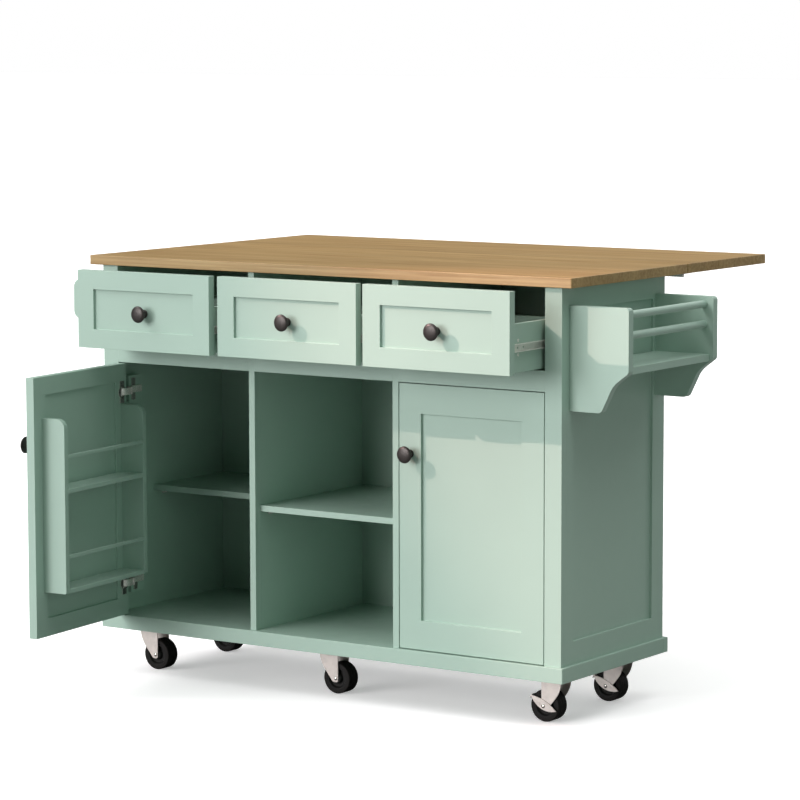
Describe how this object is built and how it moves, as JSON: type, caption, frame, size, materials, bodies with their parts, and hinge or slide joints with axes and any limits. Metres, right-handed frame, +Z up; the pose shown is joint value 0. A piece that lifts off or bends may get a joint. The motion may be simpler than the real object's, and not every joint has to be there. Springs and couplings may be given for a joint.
{
  "type": "drop leaf kitchen island",
  "caption": "Rolling drop leaf kitchen island: painted cabinet with drawers, doors and open shelves, wooden worktop, door spice rack, side bottle rack, towel bar and braked castors.",
  "frame": {"origin": "on the floor, under the middle of the whole object's box, with the left door and the drawers open as at rest", "axes": "+X to the right seen from the front (towards the bottle rack), +Y to the back (towards the leaf), +Z up"},
  "size_m": [1.431, 1.1644, 0.93],
  "materials": {
    "mint_paint": "satin paint",
    "oiled_wood": "oiled solid wood",
    "nickel_plate": "nickel plated",
    "galvanised_steel": "galvanised sheet",
    "dark_metal": "dark pewter",
    "castor_steel": "zinc plated pressing",
    "wheel_rubber": "matt rubber on a dark core"
  },
  "bodies": {
    "cabinet": {"worktop": "oiled_wood", "side_panels": "mint_paint", "face_frame": "mint_paint", "dividers": "mint_paint", "base_boards": "mint_paint", "plinth": "mint_paint", "back_panel": "mint_paint", "shelves": "mint_paint", "shelf_supports": "nickel_plate", "packers": "mint_paint", "hinge_plates": "nickel_plate", "slide_outers": "galvanised_steel", "hinge_leaves_fixed": "nickel_plate", "towel_brackets": "mint_paint", "towel_bar": "mint_paint", "bottle_brackets": "mint_paint", "bottle_rods": "mint_paint", "bottle_shelf": "mint_paint", "castor_plates": "castor_steel"},
    "leaf": {"leaf": "oiled_wood", "leaf_hinges": "nickel_plate"},
    "wing_left": {"wing_left": "mint_paint", "wing_hinges_left": "nickel_plate"},
    "wing_right": {"wing_right": "mint_paint", "wing_hinges_right": "nickel_plate"},
    "door_left": {"door_left": "mint_paint", "door_knob_left": "dark_metal", "cup_hinges_left": "nickel_plate", "door_rack_sides": "mint_paint", "door_rack_shelves": "mint_paint"},
    "door_right": {"door_right": "mint_paint", "door_knob_right": "dark_metal", "cup_hinges_right": "nickel_plate"},
    "drawer_1": {"drawer_front_1": "mint_paint", "drawer_box_1": "mint_paint", "drawer_knob_1": "dark_metal", "slide_inner_1": "galvanised_steel"},
    "cage_1": {"ball_cage_1": "galvanised_steel"},
    "drawer_2": {"drawer_front_2": "mint_paint", "drawer_box_2": "mint_paint", "drawer_knob_2": "dark_metal", "slide_inner_2": "galvanised_steel"},
    "cage_2": {"ball_cage_2": "galvanised_steel"},
    "drawer_3": {"drawer_front_3": "mint_paint", "drawer_box_3": "mint_paint", "drawer_knob_3": "dark_metal", "slide_inner_3": "galvanised_steel"},
    "cage_3": {"ball_cage_3": "galvanised_steel"},
    "fork_front_left": {"fork_front_left": "castor_steel"},
    "wheel_front_left": {"wheel_front_left": "wheel_rubber"},
    "fork_front_middle": {"fork_front_middle": "castor_steel"},
    "wheel_front_middle": {"wheel_front_middle": "wheel_rubber"},
    "fork_front_right": {"fork_front_right": "castor_steel"},
    "wheel_front_right": {"wheel_front_right": "wheel_rubber"},
    "fork_back_left": {"fork_back_left": "castor_steel"},
    "wheel_back_left": {"wheel_back_left": "wheel_rubber"},
    "fork_back_right": {"fork_back_right": "castor_steel"},
    "wheel_back_right": {"wheel_back_right": "wheel_rubber"},
    "brake_front_right": {"brake_front_right": "castor_steel"},
    "brake_back_right": {"brake_back_right": "castor_steel"}
  },
  "joints": [
    {"name": "leaf_drop", "type": "hinge", "parent": "cabinet", "child": "leaf", "pos_m": [-0.0155, 0.23396, 0.9051], "axis": [1, 0, 0], "range_deg": [-90, 0]},
    {"name": "wing_left_swing", "type": "hinge", "parent": "cabinet", "child": "wing_left", "pos_m": [-0.5411, 0.19161, 0.7635], "axis": [0, 0, 1], "range_deg": [0, 90]},
    {"name": "wing_right_swing", "type": "hinge", "parent": "cabinet", "child": "wing_right", "pos_m": [0.5101, 0.19161, 0.7635], "axis": [0, 0, -1], "range_deg": [0, 90]},
    {"name": "drawer_1_slide", "type": "slide", "parent": "cabinet", "child": "drawer_1", "axis": [0, -1, 0], "range_m": [-0.138, 0.112]},
    {"name": "cage_1_roll", "type": "slide", "parent": "cabinet", "child": "cage_1", "axis": [0, -1, 0], "range_m": [-0.069, 0.056]},
    {"name": "drawer_2_slide", "type": "slide", "parent": "cabinet", "child": "drawer_2", "axis": [0, -1, 0], "range_m": [-0.131, 0.119]},
    {"name": "cage_2_roll", "type": "slide", "parent": "cabinet", "child": "cage_2", "axis": [0, -1, 0], "range_m": [-0.0655, 0.0595]},
    {"name": "drawer_3_slide", "type": "slide", "parent": "cabinet", "child": "drawer_3", "axis": [0, -1, 0], "range_m": [-0.132, 0.118]},
    {"name": "cage_3_roll", "type": "slide", "parent": "cabinet", "child": "cage_3", "axis": [0, -1, 0], "range_m": [-0.066, 0.059]},
    {"name": "door_left_swing", "type": "hinge", "parent": "cabinet", "child": "door_left", "pos_m": [-0.5665, -0.22879, 0.4145], "axis": [0, 0, -1], "range_deg": [-84.6, 25.4]},
    {"name": "door_right_swing", "type": "hinge", "parent": "cabinet", "child": "door_right", "pos_m": [0.5355, -0.22879, 0.4145], "axis": [0, 0, 1], "range_deg": [0, 110]},
    {"name": "swivel_front_left", "type": "hinge", "parent": "cabinet", "child": "fork_front_left", "pos_m": [-0.5475, -0.14079, 0.095], "axis": [0, 0, 1], "continuous": true},
    {"name": "roll_front_left", "type": "hinge", "parent": "fork_front_left", "child": "wheel_front_left", "pos_m": [-0.5255, -0.14079, 0.034], "axis": [0, 1, 0], "continuous": true},
    {"name": "swivel_front_middle", "type": "hinge", "parent": "cabinet", "child": "fork_front_middle", "pos_m": [-0.0545, -0.14079, 0.095], "axis": [0, 0, 1], "continuous": true},
    {"name": "roll_front_middle", "type": "hinge", "parent": "fork_front_middle", "child": "wheel_front_middle", "pos_m": [-0.0325, -0.14079, 0.034], "axis": [0, 1, 0], "continuous": true},
    {"name": "swivel_front_right", "type": "hinge", "parent": "cabinet", "child": "fork_front_right", "pos_m": [0.5165, -0.14079, 0.095], "axis": [0, 0, 1], "continuous": true},
    {"name": "roll_front_right", "type": "hinge", "parent": "fork_front_right", "child": "wheel_front_right", "pos_m": [0.4945, -0.14079, 0.034], "axis": [0, 1, 0], "continuous": true},
    {"name": "press_brake_front_right", "type": "hinge", "parent": "fork_front_right", "child": "brake_front_right", "pos_m": [0.4945, -0.14079, 0.034], "axis": [0, -1, 0], "range_deg": [0, 20]},
    {"name": "swivel_back_left", "type": "hinge", "parent": "cabinet", "child": "fork_back_left", "pos_m": [-0.5475, 0.11121, 0.095], "axis": [0, 0, 1], "continuous": true},
    {"name": "roll_back_left", "type": "hinge", "parent": "fork_back_left", "child": "wheel_back_left", "pos_m": [-0.5255, 0.11121, 0.034], "axis": [0, 1, 0], "continuous": true},
    {"name": "swivel_back_right", "type": "hinge", "parent": "cabinet", "child": "fork_back_right", "pos_m": [0.5165, 0.11121, 0.095], "axis": [0, 0, 1], "continuous": true},
    {"name": "roll_back_right", "type": "hinge", "parent": "fork_back_right", "child": "wheel_back_right", "pos_m": [0.4945, 0.11121, 0.034], "axis": [0, 1, 0], "continuous": true},
    {"name": "press_brake_back_right", "type": "hinge", "parent": "fork_back_right", "child": "brake_back_right", "pos_m": [0.4945, 0.11121, 0.034], "axis": [0, -1, 0], "range_deg": [0, 20]}
  ],
  "couplings": [
    {"joint": "cage_1_roll", "follows": "drawer_1_slide", "ratio": 0.5},
    {"joint": "cage_2_roll", "follows": "drawer_2_slide", "ratio": 0.5},
    {"joint": "cage_3_roll", "follows": "drawer_3_slide", "ratio": 0.5}
  ]
}
